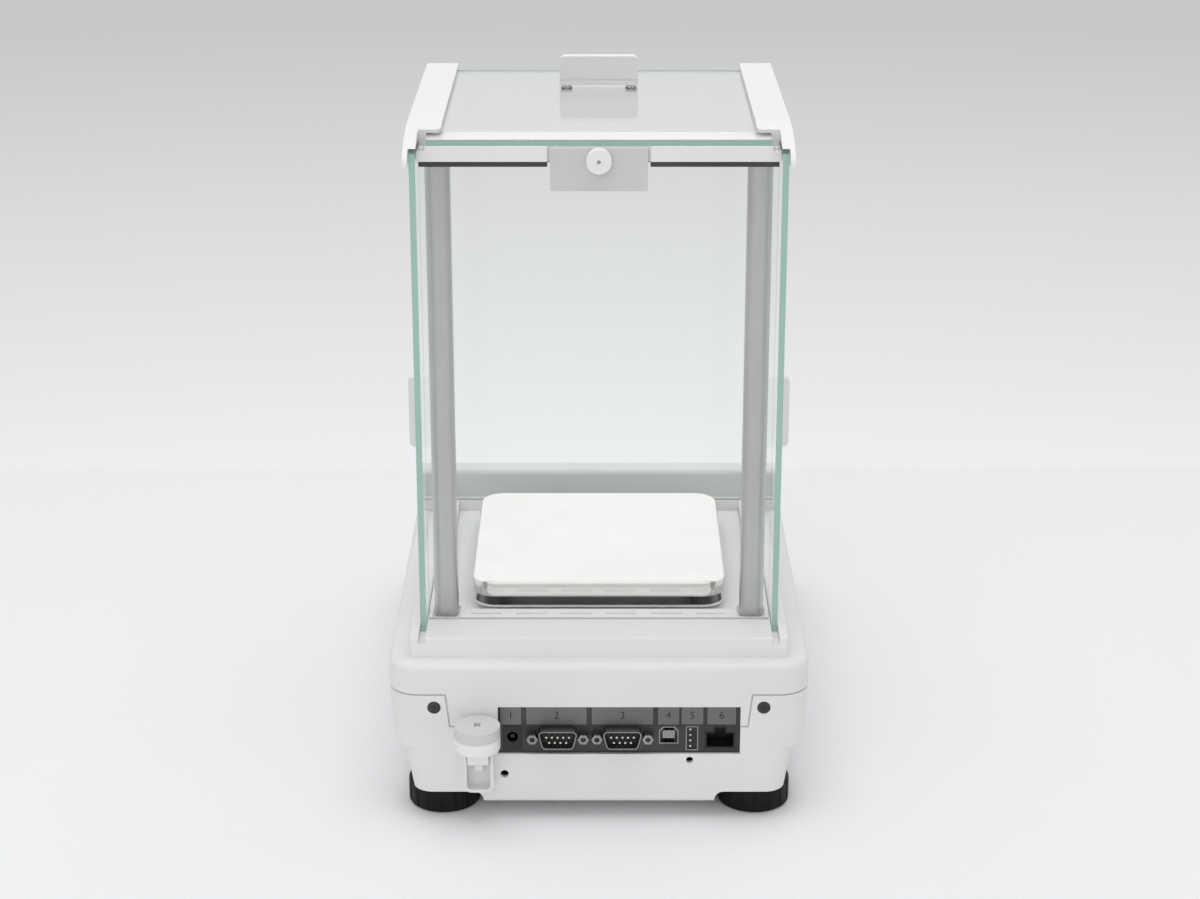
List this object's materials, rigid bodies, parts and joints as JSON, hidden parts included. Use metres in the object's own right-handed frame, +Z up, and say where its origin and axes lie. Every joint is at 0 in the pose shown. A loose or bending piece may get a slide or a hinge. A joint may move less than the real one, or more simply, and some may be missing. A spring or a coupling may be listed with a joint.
{
  "type": "precision balance",
  "caption": "Precision balance with a glass draught shield, sliding doors, a square pan, a sloping console and rear connectors",
  "frame": {"origin": "the point on the table under the middle of the balance's outer box", "axes": "+Z up, +X to the right of the person weighing, -Y to that person"},
  "size_m": [0.2078, 0.3332, 0.3519],
  "materials": {
    "housing_plastic": "fine matt light grey moulding",
    "rail_plastic": "smooth satin off-white moulding",
    "white_plastic": "smooth white moulding",
    "post_metal": "satin anodised extrusion",
    "clear_glass": "polished float glass with ground green edges",
    "display_glass": "glossy black touch panel",
    "pan_steel": "finely brushed stainless steel",
    "seal_rubber": "matt black profile",
    "foot_black": "matt black ribbed moulding",
    "screw_steel": "plated steel",
    "dark_screw": "blackened steel",
    "panel_metal": "dark brushed sheet",
    "latch_grey": "satin mid-grey plate",
    "port_metal": "tinned steel shell",
    "port_black": "black insulating moulding",
    "pin_gold": "gilded contact",
    "board_green": "lacquered circuit board",
    "cell_metal": "milled aluminium",
    "leaf_steel": "spring steel strip",
    "coil_copper": "wound enamelled copper",
    "magnet_iron": "plated soft iron",
    "sleeve_brass": "turned brass",
    "level_white": "satin light grey moulding",
    "bumper_rubber": "soft light grey rubber"
  },
  "bodies": {
    "housing": {"lower_casing": "housing_plastic", "upper_cover": "housing_plastic", "display_glass": "display_glass", "display_module": "port_black", "main_board": "board_green", "foot_sleeves": "sleeve_brass", "cover_screws": "dark_screw", "connector_panel": "panel_metal", "serial_shells": "port_metal", "serial_inserts": "port_black", "serial_pins": "pin_gold", "port_studs": "port_metal", "square_port": "port_metal", "slim_port": "port_metal", "network_port": "port_black", "power_jack": "port_black", "connector_board": "board_green", "level_tray": "housing_plastic", "level_stem": "white_plastic", "level_cup": "white_plastic", "level_cap": "level_white", "base_plate": "cell_metal", "cell_frame": "cell_metal", "guide_leaves": "leaf_steel", "magnet_pot": "magnet_iron", "shield_frame": "rail_plastic", "frame_caps": "rail_plastic", "chamber_floor": "white_plastic", "posts": "post_metal", "rail_right": "rail_plastic", "rail_left": "rail_plastic", "rear_rail": "rail_plastic", "rear_seals": "seal_rubber", "latch_plate": "latch_grey", "front_pane": "clear_glass", "rear_pane": "clear_glass"},
    "right_shield_door": {"right_door": "clear_glass", "right_handle": "white_plastic", "right_handle_screws": "screw_steel"},
    "left_shield_door": {"left_door": "clear_glass", "left_handle": "white_plastic", "left_handle_screws": "screw_steel"},
    "top_shield_door": {"top_door": "clear_glass", "top_handle": "white_plastic", "top_handle_screws": "screw_steel"},
    "hanger": {"cell_carrier": "cell_metal"},
    "lever": {"coil_lever": "cell_metal", "coil": "coil_copper"},
    "pan_rest": {"pan_carrier": "pan_steel", "pan_bumpers": "bumper_rubber"},
    "pan": {"weighing_pan": "pan_steel"},
    "latch": {"latch_knob": "white_plastic"},
    "stem_front_left": {"foot_stem_front_left": "screw_steel"},
    "wheel_front_left": {"foot_wheel_front_left": "foot_black"},
    "stem_front_right": {"foot_stem_front_right": "screw_steel"},
    "wheel_front_right": {"foot_wheel_front_right": "foot_black"},
    "stem_rear_left": {"foot_stem_rear_left": "screw_steel"},
    "wheel_rear_left": {"foot_wheel_rear_left": "foot_black"},
    "stem_rear_right": {"foot_stem_rear_right": "screw_steel"},
    "wheel_rear_right": {"foot_wheel_rear_right": "foot_black"}
  },
  "joints": [
    {"name": "right_door_slide", "type": "slide", "parent": "housing", "child": "right_shield_door", "axis": [0, 1, 0], "range_m": [0, 0.13]},
    {"name": "left_door_slide", "type": "slide", "parent": "housing", "child": "left_shield_door", "axis": [0, 1, 0], "range_m": [0, 0.13]},
    {"name": "top_door_slide", "type": "slide", "parent": "housing", "child": "top_shield_door", "axis": [0, 1, 0], "range_m": [0, 0.098]},
    {"name": "weigh_travel", "type": "slide", "parent": "housing", "child": "hanger", "axis": [0, 0, 1], "range_m": [-0.0002, 0], "stiffness_N_per_m": 40000, "springref_m": 0.00015},
    {"name": "lever_tilt", "type": "hinge", "parent": "housing", "child": "lever", "pos_m": [0, 0.003, 0.05], "axis": [1, 0, 0], "range_deg": [-1, 0]},
    {"name": "pan_rest_lift", "type": "slide", "parent": "hanger", "child": "pan_rest", "axis": [0, 0, 1], "range_m": [0, 0.03]},
    {"name": "pan_lift", "type": "slide", "parent": "pan_rest", "child": "pan", "axis": [0, 0, 1], "range_m": [0, 0.04]},
    {"name": "latch_turn", "type": "hinge", "parent": "housing", "child": "latch", "pos_m": [0, 0.116, 0.3267], "axis": [0, 1, 0], "range_deg": [0, 90]},
    {"name": "foot_lift_front_left", "type": "slide", "parent": "housing", "child": "stem_front_left", "axis": [0, 0, -1], "range_m": [0, 0.005]},
    {"name": "foot_turn_front_left", "type": "hinge", "parent": "stem_front_left", "child": "wheel_front_left", "pos_m": [-0.0776, -0.1266, 0.007], "axis": [0, 0, 1], "range_deg": [0, 1440]},
    {"name": "foot_lift_front_right", "type": "slide", "parent": "housing", "child": "stem_front_right", "axis": [0, 0, -1], "range_m": [0, 0.005]},
    {"name": "foot_turn_front_right", "type": "hinge", "parent": "stem_front_right", "child": "wheel_front_right", "pos_m": [0.0776, -0.1266, 0.007], "axis": [0, 0, 1], "range_deg": [0, 1440]},
    {"name": "foot_lift_rear_left", "type": "slide", "parent": "housing", "child": "stem_rear_left", "axis": [0, 0, -1], "range_m": [0, 0.005]},
    {"name": "foot_turn_rear_left", "type": "hinge", "parent": "stem_rear_left", "child": "wheel_rear_left", "pos_m": [-0.0776, 0.1196, 0.007], "axis": [0, 0, 1], "range_deg": [0, 1440]},
    {"name": "foot_lift_rear_right", "type": "slide", "parent": "housing", "child": "stem_rear_right", "axis": [0, 0, -1], "range_m": [0, 0.005]},
    {"name": "foot_turn_rear_right", "type": "hinge", "parent": "stem_rear_right", "child": "wheel_rear_right", "pos_m": [0.0776, 0.1196, 0.007], "axis": [0, 0, 1], "range_deg": [0, 1440]}
  ],
  "couplings": [
    {"joint": "lever_tilt", "follows": "weigh_travel", "rad_per_m": 80},
    {"joint": "foot_turn_front_left", "follows": "foot_lift_front_left", "rad_per_m": 5026.5},
    {"joint": "foot_turn_front_right", "follows": "foot_lift_front_right", "rad_per_m": 5026.5},
    {"joint": "foot_turn_rear_left", "follows": "foot_lift_rear_left", "rad_per_m": 5026.5},
    {"joint": "foot_turn_rear_right", "follows": "foot_lift_rear_right", "rad_per_m": 5026.5}
  ]
}
